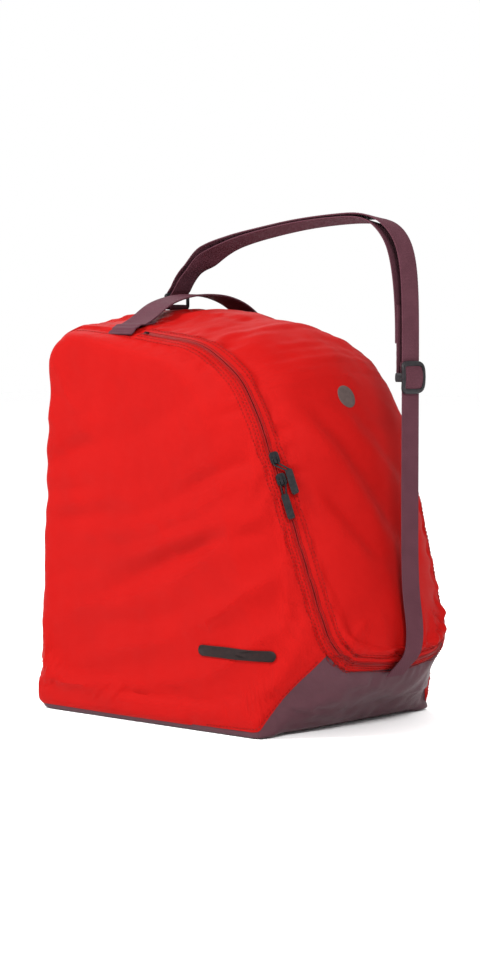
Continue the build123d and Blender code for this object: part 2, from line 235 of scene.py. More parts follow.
def fabric(name, dark, light, rough, thread, depth, sheen=0.02, twill=False, coat=0.0, mottling=18.0):
    """Woven cloth: crossed thread waves for the weave, slow mottling in the dye, and fine fuzz."""
    material, tree, principled = shader(
        name, rough, Sheen_Weight=sheen, Sheen_Roughness=0.4, Sheen_Tint=(*light, 1), Coat_Weight=coat,
        Specular_IOR_Level=CLOTH_SPECULAR,
    )
    uv = node(tree, "ShaderNodeTexCoord").outputs["UV"]
    place = node(tree, "ShaderNodeTexCoord").outputs["Object"]
    cloud = noise(tree, place, Scale=mottling, Detail=5.0, Roughness=0.6)
    fuzz = noise(tree, place, Scale=900.0, Detail=2.0)
    threads = []
    for direction in ("DIAGONAL" if twill else "X", "Y"):
        wave = node(
            tree, "ShaderNodeTexWave", wave_type="BANDS", bands_direction=direction,
            Scale=1 / thread / 3.1416, Distortion=0.6, Detail_Scale=3.0,
        )
        tree.links.new(uv, wave.inputs["Vector"])
        threads.append(wave.outputs["Fac"])
    weave = math_node(tree, "MULTIPLY", *threads)
    tone = math_node(tree, "MULTIPLY_ADD", weave, WEAVE_TONE, math_node(tree, "MULTIPLY", cloud, CLOUD_TONE))
    tone = math_node(tree, "ADD", math_node(tree, "MULTIPLY_ADD", fuzz, FUZZ_TONE, tone), BASE_TONE)
    height = math_node(tree, "MULTIPLY_ADD", fuzz, 0.5, weave)
    gloss = (cloud, rough - 0.08, min(rough + 0.1, 1))
    finish_shader(tree, principled, (tone, dark, light), gloss, (height, 0.6, depth))
    return material


def moulded(name, dark, light, rough, grain):
    """Moulded plastic, rubber or lacquered metal: fine grain with scuffs that change colour and gloss."""
    material, tree, principled = shader(name, rough, Specular_IOR_Level=PLASTIC_SPECULAR)
    place = node(tree, "ShaderNodeTexCoord").outputs["Object"]
    scuff = noise(tree, place, Scale=260.0, Detail=6.0, Roughness=0.7)
    fine = noise(tree, place, Scale=2600.0, Detail=2.0)
    gloss = (scuff, rough - 0.12, rough + 0.15)
    finish_shader(tree, principled, (scuff, dark, light), gloss, (fine, 0.4, grain))
    return material


SHELL = fabric("shell_weave", (0.232, 0.0022, 0.0018), (0.292, 0.0040, 0.0032), 0.62, 0.6 * MM, 0.12 * MM)
FLAP = fabric("flap_weave", (0.232, 0.0022, 0.0018), (0.292, 0.0040, 0.0032), 0.60, 0.6 * MM, 0.12 * MM)
BASE = fabric(
    "coated_weave", (0.040, 0.014, 0.019), (0.070, 0.026, 0.034), 0.42, 1.2 * MM, 0.25 * MM, 0.02, coat=0.10,
    mottling=30.0,
)
LINING = fabric("lining_weave", (0.05, 0.05, 0.055), (0.10, 0.10, 0.11), 0.75, 1.0 * MM, 0.1 * MM)
TAPE = fabric(
    "zipper_tape_weave", (0.225, 0.0022, 0.0018), (0.285, 0.0040, 0.0032), 0.66, 1.0 * MM, 0.2 * MM,
    twill=True,
)
# the coil is a darker red than the tape: partly the coil's own colour, partly painted shade for the dark
# lines either side of the zip's centre
COIL_AND_SHADE = moulded("zipper_coil_nylon_and_painted_shade", (0.115, 0.002, 0.002), (0.18, 0.003, 0.003), 0.42, 0.05 * MM)
THREAD = moulded("stitch_thread", (0.12, 0.002, 0.002), (0.18, 0.004, 0.003), 0.55, 0.05 * MM)
THREAD_DARK = moulded("stitch_thread_dark", (0.05, 0.02, 0.026), (0.10, 0.045, 0.055), 0.6, 0.05 * MM)
WEB = fabric(
    "webbing_weave", (0.044, 0.014, 0.020), (0.078, 0.028, 0.038), 0.72, 1.3 * MM, 0.35 * MM, 0.08,
    twill=True, mottling=60.0,
)
BLACK = moulded("slider_lacquer", (0.004, 0.004, 0.005), (0.014, 0.014, 0.016), 0.30, 0.03 * MM)
RUBBER = moulded("pull_rubber", (0.004, 0.004, 0.005), (0.013, 0.013, 0.014), 0.38, 0.05 * MM)
BUCKLE = moulded("buckle_plastic", (0.008, 0.007, 0.008), (0.020, 0.018, 0.020), 0.38, 0.05 * MM)
BOARD = moulded("board_plastic", (0.02, 0.02, 0.022), (0.05, 0.05, 0.052), 0.6, 0.08 * MM)
PRINT = moulded("print_ink", (0.007, 0.004, 0.004), (0.015, 0.008, 0.008), 0.5, 0.04 * MM)
PRINT_GREY = moulded("print_ink_grey", (0.045, 0.032, 0.030), (0.075, 0.052, 0.048), 0.45, 0.04 * MM)


# ---------------------------------------------------------------- the bag's smooth skin
def frame_surface(names):
    """One search tree over the outer faces of several CAD nodes."""
    vertices, faces = [], []
    for name in names:
        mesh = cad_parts[name].data
        start = len(vertices)
        vertices.extend(v.co.copy() for v in mesh.vertices)
        faces.extend(tuple(start + i for i in p.vertices) for p in mesh.polygons)
    return BVHTree.FromPolygons(vertices, faces)


SKIN_NODES = [
    "side_panel_left", "side_panel_right", "top_panel", "back_panel", "base_shell", "flap_panel",
    "zipper_tape_body", "zipper_tape_flap", "zipper_coil_body", "zipper_coil_flap",
]


def radial_hit(tree, x, angle):
    """Outermost point of the skin in the side-view direction of an angle, at one X."""
    way = Vector((0, math.cos(angle), math.sin(angle)))
    middle = Vector((x, CENTRE_Y, CENTRE_Z))
    hit = tree.ray_cast(middle + way * 0.6, -way, 0.6)[0]
    return hit if hit is not None else middle + way * 0.1


def skin_grid():
    """The skin as a closed grid: rings of the left side, stations across, rings of the right side."""
    tree = frame_surface(SKIN_NODES)
    trial = np.linspace(0, 2 * math.pi, 1441)[:-1]
    ring = np.array([radial_hit(tree, 0, a) for a in trial])
    run = run_lengths(np.vstack([ring, ring[:1]]))
    angles = np.interp(np.linspace(0, run[-1], AROUND + 1)[:-1], run, np.append(trial, 2 * math.pi))
    edge = SIDE_X - 0.05 * MM
    share = np.linspace(-1, 1, STATIONS)
    across = edge * (0.65 * share + 0.35 * np.sin(share * math.pi / 2))
    tube = np.array([[radial_hit(tree, x, a) for a in angles] for x in across])
    grid = [tube]
    for side, outline in ((-1, tube[0]), (1, tube[-1])):
        middle = np.array([side * SIDE_X, CENTRE_Y, CENTRE_Z])
        shares = np.linspace(0, 1, RINGS_CAP + 1)[1:-1]
        rings = np.array([outline + (middle - outline) * s for s in shares])
        rings[:, :, 0] = side * SIDE_X
        grid = [rings[::-1]] + grid if side < 0 else grid + [rings]
    return np.concatenate(grid)


def smooth_grid(grid, rounds, share=1):
    """Rounds the creases by repeated averaging along both directions of the grid."""
    for _ in range(rounds):
        along = (np.roll(grid, 1, 1) + np.roll(grid, -1, 1)) / 2
        across = grid.copy()
        across[1:-1] = (grid[:-2] + grid[2:]) / 2
        grid = grid + share * (0.25 * (along - grid) + 0.25 * (across - grid))
        grid[:, :, 2] = np.maximum(grid[:, :, 2], 0)
    return grid


def grid_normals(grid):
    around = np.roll(grid, -1, 1) - np.roll(grid, 1, 1)
    across = np.gradient(grid, axis=0)
    normals = unit(np.cross(around, across))
    outward = grid - CENTRE
    flip = np.sign((normals * outward).sum(-1, keepdims=True))
    return normals * np.where(flip == 0, 1, flip)


def mouth_outline():
    """The zipper line in the front view, as (x, z) from the upper left round to the upper right."""
    low, high = np.array(CHAIN_LOW), np.array(CHAIN_HIGH)
    lean = unit(high - low)
    reach = CHAIN_CORNER * math.tan(math.acos(lean[0]) / 2)
    start = low + lean * reach
    end = low - np.array([reach, 0])
    middle = np.array([end[0], low[1] + CHAIN_CORNER])
    first = math.atan2(*(start - middle)[::-1])
    arc_angles = np.linspace(first, -math.pi / 2, 40)
    arc = middle + CHAIN_CORNER * np.stack([np.cos(arc_angles), np.sin(arc_angles)], 1)
    side = np.linspace(high, start, 150)[:-1]
    above = np.stack([np.full(60, high[0]), np.linspace(0.45, high[1], 60)], 1)[:-1]
    right = np.vstack([above, side, arc])
    left = right * np.array([-1, 1])
    return np.vstack([left, right[::-1]])


def inside(outline, x, z):
    """Whether each (x, z) lies inside the closed outline."""
    result = np.zeros(x.shape, bool)
    for (x0, z0), (x1, z1) in zip(outline, np.roll(outline, -1, 0)):
        if z0 == z1:
            continue
        crosses = (z0 > z) != (z1 > z)
        result ^= crosses & (x < (x1 - x0) * (z - z0) / (z1 - z0) + x0)
    return result


def resample(points, step):
    """The same polyline with evenly spaced points."""
    lengths = run_lengths(points)
    count = max(int(round(lengths[-1] / step)), 2)
    return rows_at(np.linspace(0, lengths[-1], count + 1), lengths, points)


def chain_curves(tree, outline):
    """The zipper line on the skin, and the same line carried on over the top and down the back."""
    bend_x, bend_z = CHAIN_HIGH
    front = [
        tree.ray_cast(Vector((x, -0.5, z)), Vector((0, 1, 0)), 1.0)[0]
        for x, z in outline
        if z <= bend_z
    ]
    start_angle = math.atan2(front[0].z - CENTRE_Z, front[0].y - CENTRE_Y) % (2 * math.pi)
    # the angle at which the line crosses the flap's fold on top; below 0.9 lies the back
    hinge = max(
        np.linspace(0.3, start_angle, 400),
        key=lambda a: -abs(radial_hit(tree, bend_x, a).y - HINGE_Y) if a > 0.9 else -9,
    )
    over = [radial_hit(tree, bend_x, a) for a in np.linspace(hinge, start_angle, 160)][:-1]
    rear = [radial_hit(tree, bend_x, a) for a in np.linspace(-0.85, hinge, 300)][:-1]
    left = [Vector((-p.x, p.y, p.z)) for p in over]
    main = np.array([*left, *front, *over[::-1]])
    tail = np.array(rear)
    both = np.vstack([tail * np.array([-1, 1, 1]), main, tail[::-1]])
    return resample(main, 1 * MM), resample(both, 1 * MM)


def nearest(curve, points):
    """Distance to a curve of closely spaced points, and the index of the nearest one."""
    tree = KDTree(len(curve))
    for i, p in enumerate(curve):
        tree.insert(Vector(p), i)
    tree.balance()
    found = [tree.find(Vector(p)) for p in points]
    return np.array([f[2] for f in found]), np.array([f[1] for f in found])


def line_side(x, z, low, top):
    """Signed distance in the front view to the line from low to top, positive on the outer side."""
    way = np.array(top) - np.array(low)
    way = way / np.linalg.norm(way)
    return (np.abs(x) - low[0]) * way[1] - (z - low[1]) * way[0]


def drape(grid, held):
    """Where the loose cloth settles between its seams, as an offset for every grid point."""
    rows = np.round(np.linspace(0, grid.shape[0] - 1, (grid.shape[0] + 1) // 2)).astype(int)
    columns = np.arange(0, grid.shape[1], 2)
    rest = grid[rows][:, columns]
    mesh = bpy.data.meshes.new("loose_cloth")
    quads = ring_quads(len(rows), len(columns))
    mesh.from_pydata([tuple(p) for p in rest.reshape(-1, 3)], [], quads)
    cloth = bpy.data.objects.new("loose_cloth", mesh)
    bpy.context.scene.collection.objects.link(cloth)
    group = cloth.vertex_groups.new(name="sewn")
    firm = held[rows][:, columns]
    firm[0] = firm[-1] = 0
    for i, weight in enumerate(firm.ravel()):
        group.add([i], float(weight), "REPLACE")
    cloth_mod = cloth.modifiers.new("cloth", "CLOTH")
    how = cloth_mod.settings
    how.quality = 5
    how.mass = 0.25
    how.tension_stiffness, how.compression_stiffness, how.shear_stiffness = 12, 6, 3
    how.bending_stiffness = 0.4
    how.air_damping = 2.0
    how.vertex_group_mass = "sewn"
    how.pin_stiffness = 1.0
    how.shrink_min = -0.016
    how.use_pressure = True
    how.uniform_pressure_force = 1.0
    how.effector_weights.gravity = 0.5
    cloth_mod.collision_settings.use_collision = False
    scene = bpy.context.scene
    for frame_number in range(1, DRAPE_FRAMES + 1):
        scene.frame_set(frame_number)
    settled = cloth.evaluated_get(bpy.context.evaluated_depsgraph_get()).data
    moved = np.zeros(len(settled.vertices) * 3)
    settled.vertices.foreach_get("co", moved)
    moved = moved.reshape(rest.shape) - rest
    scene.frame_set(1)
    bpy.data.objects.remove(cloth)
    length = np.linalg.norm(moved, axis=-1, keepdims=True)
    print("drape: typical and largest move in mm", round(length.mean() / MM, 2), round(length.max() / MM, 2))
    moved = moved * (DRAPE_LIMIT * np.tanh(length / DRAPE_LIMIT) / np.maximum(length, 1e-9))
    along = rows_at(np.arange(grid.shape[0]), rows, moved)
    wrapped = np.concatenate([along, along[:, :1]], 1).swapaxes(0, 1)
    full = rows_at(np.arange(grid.shape[1]), np.append(columns, grid.shape[1]), wrapped)
    return full.swapaxes(0, 1) * (1 - held[:, :, None] ** 2)


class Skin:
    """The whole skin as triangles, with the fields that cut it into panels."""

    def __init__(self):
        grid = skin_grid()
        middle = ramp((0.112 - np.abs(grid[:, :, :1])) / 0.02)
        grid = smooth_grid(smooth_grid(grid, SMOOTH_MIDDLE, middle), SMOOTH_ALL)
        self.rows, self.columns = grid.shape[:2]
        self.triangles = self.grid_triangles()
        self.outline = mouth_outline()
        rest = bvh_of(grid.reshape(-1, 3), self.triangles)
        self.chain, self.seam = chain_curves(rest, self.outline)
        flat = grid.reshape(-1, 3)
        self.fields(flat)
        normals = grid_normals(grid).reshape(-1, 3)
        held = self.held(flat)
        loose = flat + drape(grid, held.reshape(grid.shape[:2])).reshape(-1, 3)
        self.points = loose + normals * self.relief(flat)[:, None]
        self.points[:, 2] = np.maximum(self.points[:, 2], 0)
        self.add_poles()
        self.tree = bvh_of(self.points, self.triangles)

    def grid_triangles(self):
        rows, columns = np.meshgrid(np.arange(self.rows - 1), np.arange(self.columns), indexing="ij")
        right = (columns + 1) % self.columns
        a, b = rows * self.columns + columns, rows * self.columns + right
        c, d = (rows + 1) * self.columns + right, (rows + 1) * self.columns + columns
        return np.vstack([np.stack([a, b, c], -1).reshape(-1, 3), np.stack([a, c, d], -1).reshape(-1, 3)])

    def fields(self, p):
        """Signed distances used to cut the panels; negative is inside the flap or the base."""
        x, y, z = p.T
        within = inside(self.outline, x, z)
        distance, self.chain_at = nearest(self.chain, p)
        self.from_chain = np.where(within & (y < HINGE_Y + 0.02), -distance, distance)
        distance, _ = nearest(self.seam, p)
        behind = y > HINGE_Y
        in_seam = np.where(behind, np.abs(x) < CHAIN_HIGH[0], within)
        self.from_seam = np.where(in_seam, -distance, distance)
        diagonal = line_side(x, z, GUSSET_LOW, GUSSET_TOP)
        front = np.maximum.reduce([diagonal, z - GUSSET_TOP[1], (y + 0.06)])
        self.from_base = np.minimum(z - STRIP_Z, front)

    def held(self, p):
        """How firmly each point is sewn: 1 on a seam, the zipper and the base, 0 on free cloth."""
        y, z = p[:, 1], p[:, 2]
        rear = np.where(y > HINGE_Y, bump(self.from_seam, 5 * MM), 0)
        hem = bump(np.maximum(np.abs(self.from_chain) - TAPE_HALF, 0), 3 * MM)
        floor = ramp((36 * MM - z) / (30 * MM))
        toe = bump(self.from_base, 4 * MM)
        crown = bump(p[:, 0] / 0.115, 1) * ramp((z - 0.392) / 0.006)
        return np.clip(np.maximum.reduce([rear, hem, floor, toe, 0.9 * crown]), 0, 1)

    def relief(self, p):
        """How far the cloth stands off the plain shape: padding, sunk seams, folds, puckers and pleats."""
        x, y, z = p.T
        chain, seam, base = self.from_chain, self.from_seam, self.from_base
        off_tape = np.maximum(np.abs(chain) - TAPE_HALF, 0)
        off_seam = np.abs(np.abs(seam) - 0.5 * MM)
        on_flap = ramp((-chain - TAPE_HALF) / (5 * MM))
        on_toe = ramp(-base / (3 * MM)) * ramp((z - STRIP_Z) / (4 * MM))
        red = ramp(base / (4 * MM))
        side = ramp((np.abs(x) - 0.104) / 0.018) * red * (1 - on_flap)
        # sewn edges sink, padding fills out behind them, and the zipper lies in a shallow trough
        h = -1.5 * MM * bump(np.abs(chain) - TAPE_HALF, 1.5 * MM) - 0.9 * MM * bump(chain, 3.2 * MM)
        h += -1.5 * MM * bump(off_seam, 2.0 * MM) * ramp((y - HINGE_Y) / 0.01)
        h += 2.2 * MM * (1 - np.exp(-off_tape / (11 * MM))) * red
        # the gusset lies under the red panels and the hem
        h += -1.5 * MM * on_toe - 1.3 * MM * on_toe * bump(off_tape, 12 * MM)
        # slow swelling of the whole skin
        h += 1.0 * MM * band_noise(p, 0.15, seed=1) * ramp(off_tape / (12 * MM))
        h += side * self.side_folds(y, z) * ramp(off_tape / (9 * MM))
        h += on_flap * self.flap_folds(x, y, z, off_tape)
        # fine puckers on the body side of the zipper
        s = self.chain_at * MM
        strength = 0.55 + 0.45 * np.sin(s / 0.083 + 1)
        pucker = np.sin(s / 0.0105 * math.pi + 1.5 * np.sin(s / 0.029)) * strength
        near = bump(off_tape - 5 * MM, 9 * MM) * ramp(off_tape / (3 * MM)) * red
        h += 0.45 * MM * pucker * near
        # creases in the coated toe
        crease = p @ np.array([[0.5, 0, 0], [0, 1, 0], [0.86, 0, 1]])
        fold = 1 - np.abs(band_noise(crease, 0.055, seed=4))
        h += on_toe * 1.2 * MM * (fold - 0.3)
        # small crumples everywhere
        h += 0.22 * MM * band_noise(p, 0.022, seed=5) * ramp(off_tape / (8 * MM)) * (1 + on_toe)
        # one toe corner is pushed in behind the gusset
        tucked = ramp((x - 0.095) / 0.02) * ramp((0.105 - z) / 0.035) * ramp((-0.110 - y) / 0.05)
        return (h - TOE_TUCK * tucked) * ramp(z / 0.010)

    def side_folds(self, y, z):
        """Long soft folds that climb towards the zipper, and a few sharper ones at known places."""
        slope = math.radians(18)
        along = -y * math.cos(slope) + z * math.sin(slope)
        off = y * math.sin(slope) + z * math.cos(slope)
        bent = np.stack([0.16 * along, off + 0.012 * np.sin(along / 0.05), np.zeros_like(y)], 1)
        soft = 1 - np.abs(band_noise(bent, 0.062, seed=2))
        fine = band_noise(bent, 0.026, seed=7)
        level = ramp((z - 0.03) / 0.05) * (1 - 0.75 * ramp((z - 0.29) / 0.06))
        h = level * MM * (2.5 * (soft - 0.25) + 0.6 * fine)
        for start, end, width, depth in (
            ((-0.012, 0.163), (-0.140, 0.197), 9, 2.6),
            ((0.048, 0.134), (-0.066, 0.176), 11, 3.0),
            ((0.138, 0.253), (0.080, 0.274), 9, 2.6),
            ((0.120, 0.196), (0.040, 0.215), 10, 2.0),
            ((-0.060, 0.236), (-0.128, 0.262), 7, 1.6),
            ((-0.030, 0.086), (-0.110, 0.112), 9, 1.5),
            ((-0.090, 0.304), (-0.118, 0.312), 5, 1.0),
        ):
            h += self.dent(y, z, start, end, width * MM, depth * MM)
        return h

    def flap_folds(self, x, y, z, off_tape):
        """Puckers that run out from the zipper, pleats over the hem, a long dent and crown wrinkles."""
        s = self.chain_at * MM
        lower = ramp((0.345 - z) / 0.05)
        strength = 0.55 + 0.45 * np.sin(s / 0.09 + 1)
        pucker = np.sin(s / 0.0125 * math.pi + 1.8 * np.sin(s / 0.037)) * strength
        reach = bump(np.maximum(off_tape - 5 * MM, 0), 20 * MM) * ramp(off_tape / (3 * MM))
        h = 1.5 * MM * pucker * reach * (0.35 + 0.65 * lower)
        pleat = np.abs(np.sin(s / 0.0150 * math.pi / 2 + 2.4 * np.sin(s / 0.045)))
        hem = ramp((0.165 - z) / 0.07) * ramp(off_tape / (5 * MM))
        hem = hem * bump(np.maximum(off_tape - 10 * MM, 0), 34 * MM)
        h += 3.2 * MM * (0.6 - pleat) * hem * ramp((0.080 - np.abs(x)) / 0.020)
        h += self.dent(x, z, (-0.050, 0.300), (0.022, 0.190), 12 * MM, 5.0 * MM)
        h += self.dent(x, z, (-0.066, 0.232), (-0.026, 0.178), 8 * MM, 2.4 * MM)
        h += self.dent(x, z, (-0.005, 0.300), (0.045, 0.240), 9 * MM, 1.6 * MM)
        dome = ramp((z - 0.30) / 0.06)
        cross = np.stack([0.10 * x, y, z], 1)
        h += dome * 0.80 * MM * band_noise(cross, 0.014, seed=3)
        drift = np.stack([0.7 * x, y, 0.35 * z], 1)
        return h + 1.1 * MM * band_noise(drift, 0.045, seed=6) * ramp(off_tape / (14 * MM))

    @staticmethod
    def dent(x, z, start, end, width, depth):
        """A smooth trough along a line, with a softer ridge beside it."""
        a, b = np.array(start), np.array(end)
        way = b - a
        length = np.linalg.norm(way)
        way = way / length
        along = (x - a[0]) * way[0] + (z - a[1]) * way[1]
        off = (x - a[0]) * way[1] - (z - a[1]) * way[0]
        ends = bump(np.maximum(np.abs(along - length / 2) - length * 0.3, 0), length * 0.3)
        return -depth * bump(off, width) * ends + 0.55 * depth * bump(off - 1.8 * width, width) * ends

    def add_poles(self):
        """Closes the middle of both sides with one point each."""
        first, last = np.arange(self.columns), (self.rows - 1) * self.columns + np.arange(self.columns)
        count = len(self.points)
        poles = np.array([self.points[first].mean(0), self.points[last].mean(0)])
        self.points = np.vstack([self.points, poles])
        for key in ("from_chain", "from_seam", "from_base"):
            values = getattr(self, key)
            setattr(self, key, np.append(values, [values[first].mean(), values[last].mean()]))
        nose = np.stack([np.roll(first, -1), first, np.full(self.columns, count)], 1)
        tail = np.stack([last, np.roll(last, -1), np.full(self.columns, count + 1)], 1)
        self.triangles = np.vstack([self.triangles, nose, tail])

    def cut(self, *fields):
        """The part of the skin where every field is negative, cut cleanly along their zero lines."""
        points, triangles = self.points, self.triangles
        values = np.stack(fields, 1)
        for k in range(values.shape[1]):
            points, triangles, values = cut_once(points, triangles, values, k)
        used, back = np.unique(triangles, return_inverse=True)
        return points[used], back.reshape(-1, 3)


def cut_once(points, triangles, values, k):
    """Keeps the triangles where field k is negative and splits those that it crosses."""
    f = values[:, k] + 1e-9
    inner = f[triangles] < 0
    count = inner.sum(1)
    kept = [triangles[count == 3]]
    crossing = triangles[(count == 1) | (count == 2)]
    made, new_points, new_values = {}, [], []

    def middle(a, b):
        key = (a, b) if a < b else (b, a)
        if key not in made:
            share = f[key[0]] / (f[key[0]] - f[key[1]])
            made[key] = len(points) + len(new_points)
            new_points.append(points[key[0]] + share * (points[key[1]] - points[key[0]]))
            new_values.append(values[key[0]] + share * (values[key[1]] - values[key[0]]))
        return made[key]

    fresh = []
    for tri in crossing.tolist():
        low = [f[i] < 0 for i in tri]
        alone = sum(low) == 1  # one corner is kept; otherwise one corner is lost
        i = low.index(alone)
        a, b, c = tri[i], tri[i - 2], tri[i - 1]
        p, q = middle(a, b), middle(a, c)
        fresh.extend([[a, p, q]] if alone else [[p, b, c], [p, c, q]])
    if new_points:
        points = np.vstack([points, new_points])
        values = np.vstack([values, new_values])
        kept.append(np.array(fresh))
    return points, np.vstack(kept), values


def vertex_normals(points, triangles):
    a, b, c = (points[triangles[:, i]] for i in range(3))
    face = np.cross(b - a, c - a)
    normals = np.zeros_like(points)
    for i in range(3):
        np.add.at(normals, triangles[:, i], face)
    return unit(normals)


def flat_uv(points, normals):
    """Cloth coordinates in metres, laid from the side that each point mostly faces."""
    x, y, z = points.T
    facing_x = np.abs(normals[:, 0]) > 0.75
    along = np.where(np.abs(normals[:, 1]) > np.abs(normals[:, 2]), z, y)
    return np.stack([np.where(facing_x, y, x), np.where(facing_x, z, along)], 1)


def cloth_piece(name, sheet, material, thickness, lift=0.0):
    """A closed piece of cloth: the outer sheet, the same sheet inwards, and the rim between them."""
    points, triangles = sheet
    a, b, c = (points[triangles[:, i]] for i in range(3))
    solid = np.linalg.norm(np.cross(b - a, c - a), axis=1) > 1e-11
    triangles = triangles[solid]
    normals = vertex_normals(points, triangles)
    outward = points - CENTRE
    if (normals * outward).sum() < 0:
        triangles, normals = triangles[:, ::-1], -normals
    count = len(points)
    edges = np.vstack([triangles[:, [0, 1]], triangles[:, [1, 2]], triangles[:, [2, 0]]])
    keys = np.sort(edges, 1) @ np.array([count, 1])
    _, first, times = np.unique(keys, return_index=True, return_counts=True)
    rim = edges[first[times == 1]]
    outer = points + normals * lift
    inner = points - normals * (thickness - lift)
    inner[:, 2] = np.maximum(inner[:, 2], 0.0002 + np.minimum(outer[:, 2], thickness) * 0.5)
    faces = [*triangles.tolist(), *(triangles[:, ::-1] + count).tolist()]
    faces += [[int(b), int(a), int(a) + count, int(b) + count] for a, b in rim]
    uv = flat_uv(points, normals)
    piece = new_object(name, np.vstack([outer, inner]), faces, material, np.vstack([uv, uv]))
    piece.data.set_sharp_from_angle(angle=SHARP)
    return piece


skin = Skin()
chain, seam, base = skin.from_chain, skin.from_seam, skin.from_base
px, py, pz = skin.points.T
CLOTH_T = 1.6 * MM
LINING_DEPTH = 2.2 * MM
LINING_T = 0.8 * MM
SEAM_GAP = 0.15 * MM


def lined(name, sheet, node_name):
    """The thin inner cloth of one panel, just under its outer cloth."""
    piece = cloth_piece(name, sheet, LINING, LINING_T, -LINING_DEPTH)
    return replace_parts(piece, node_name)


for side, sign in (("left", 1), ("right", -1)):
    sheet = skin.cut(TAPE_HALF + SEAM_GAP - seam, -base + SEAM_GAP, sign * px + 0.05)
    piece = cloth_piece(f"side_cloth_{side}", sheet, SHELL, CLOTH_T, 0.5 * MM)
    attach(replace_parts(piece, f"side_panel_{side}"), "bag")
    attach(lined(f"side_lining_{side}", sheet, f"lining_{side}"), "bag")

for name, fields in (
    ("top", (HINGE_Y - py, py - SEAM_REAR_Y, 0.2 - pz)),
    ("back", (SEAM_REAR_Y - py, STRIP_Z - pz)),
):
    sheet = skin.cut(seam - TAPE_HALF, *fields)
    cloth = cloth_piece(f"{name}_cloth", sheet, SHELL, CLOTH_T, 0.2 * MM)
    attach(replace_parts(cloth, f"{name}_panel"), "bag")
    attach(lined(f"{name}_lining", sheet, f"lining_{name}"), "bag")

sheet = skin.cut(base, TAPE_HALF - 2 * MM - chain)
base_cloth = cloth_piece("base_cloth", sheet, BASE, CLOTH_T)
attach(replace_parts(base_cloth, "base_shell"), "bag")
toe = skin.cut(base, TAPE_HALF - chain, 8 * MM - pz)
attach(lined("toe_lining", toe, "lining_toe"), "bag")

sheet = skin.cut(chain + TAPE_HALF, py - HINGE_Y)
flap_cloth = cloth_piece("flap_cloth", sheet, FLAP, CLOTH_T, 0.2 * MM)
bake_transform(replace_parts(flap_cloth, "flap_panel"))
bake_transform(lined("flap_inner", sheet, "flap_lining"))


# ---------------------------------------------------------------- zipper
COIL_GAP = 0.25 * MM
HALVES = (("body", 1), ("flap", -1))


def sew(piece, half):
    """Fixes one half of the zipper: the body's rides the bag, the flap's is fixed in place in the world."""
    if half == "body":
        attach(piece, "bag")
    else:
        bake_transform(piece)


for half, sign in HALVES:
    sheet = skin.cut(COIL_GAP - sign * chain, sign * chain - TAPE_HALF, py - HINGE_Y)
    tape = cloth_piece(f"tape_{half}_cloth", sheet, TAPE, 1.0 * MM, 0.5 * MM)
    sew(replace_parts(tape, f"zipper_tape_{half}"), half)


def on_skin(points, lift):
    """Points moved onto the finished cloth and raised by lift, with the cloth's normals there."""
    found = [skin.tree.find_nearest(Vector(p)) for p in points]
    normals = np.array([f[1] for f in found])
    outward = points - CENTRE
    normals = normals * np.sign((normals * outward).sum(1, keepdims=True))
    smooth = normals.copy()
    for _ in range(4):
        smooth[1:-1] = (smooth[:-2] + smooth[1:-1] + smooth[2:]) / 3
    normals = unit(smooth)
    return np.array([f[0] for f in found]) + normals * lift, normals


def beside(curve, offset, lift):
    """A line on the cloth that keeps its distance from a curve: negative is towards the flap."""
    on, normals = on_skin(curve, 0)
    tangents = unit(np.gradient(on, axis=0))
    across = unit(np.cross(tangents, normals))
    return on_skin(on + across * offset, lift)


def tube(path, normals, half_wide, half_high, sides=8):
    """A round bead swept along a path."""
    tangents = unit(np.gradient(path, axis=0))
    across = unit(np.cross(tangents, normals))
    angles = np.arange(sides) / sides * 2 * math.pi
    ring = across[:, None] * (half_wide * np.cos(angles))[None, :, None]
    ring = ring + normals[:, None] * (half_high * np.sin(angles))[None, :, None]
    points = (path[:, None] + ring).reshape(-1, 3)
    faces = [[a, d, c, b] for a, b, c, d in ring_quads(len(path), sides)]
    return points, faces + [cap[::-1] for cap in end_caps(len(path), sides)]


def stitches(line, normals, length=2.8 * MM, gap=1.3 * MM, radius=0.33 * MM):
    """Short sunk thread stitches along an evenly spaced line."""
    made = []
    lengths = run_lengths(line)
    start = 0.0
    while start + length < lengths[-1]:
        at = start + length * np.array([0, 0.15, 0.5, 0.85, 1])
        up = unit(rows_at(at, lengths, normals))
        path = rows_at(at, lengths, line) + up * (radius * np.array([-0.9, 0.5, 0.9, 0.5, -0.9]))[:, None]
        made.append(tube(path, up, radius, radius, 5))
        start += length + gap
    return made


# two coil beads a side, at 0.95 mm and 3.1 mm from the centre, in the darker coil red, which partly stands
# in as painted shade lines beside the closed zip
for half, sign in HALVES:
    parts = []
    for offset, half_wide in ((0.95 * MM, 0.72 * MM), (3.1 * MM, 0.42 * MM)):
        line, normals = beside(skin.chain, sign * offset, 0.5 * MM)
        ripple = 0.16 * MM * (np.arange(len(line)) % 2)[:, None]
        parts.append(tube(line + normals * ripple, normals, half_wide, 0.62 * MM))
    sew(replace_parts(joined_object(f"coil_{half}", parts, COIL_AND_SHADE), f"zipper_coil_{half}"), half)


def gusset_line():
    """The seam between the left side panel and the toe, from the zipper's corner to the ground."""
    low, top = np.array(GUSSET_LOW), np.array(GUSSET_TOP)
    line = []
    for s in np.linspace(0.04, 0.93, 90):
        x, z = low + (top - low) * s
        hit = skin.tree.ray_cast(Vector((-x, -0.5, z)), Vector((0, 1, 0)), 1.0)[0]
        if hit is not None:
            line.append(hit)
    return resample(np.array(line), 1 * MM)


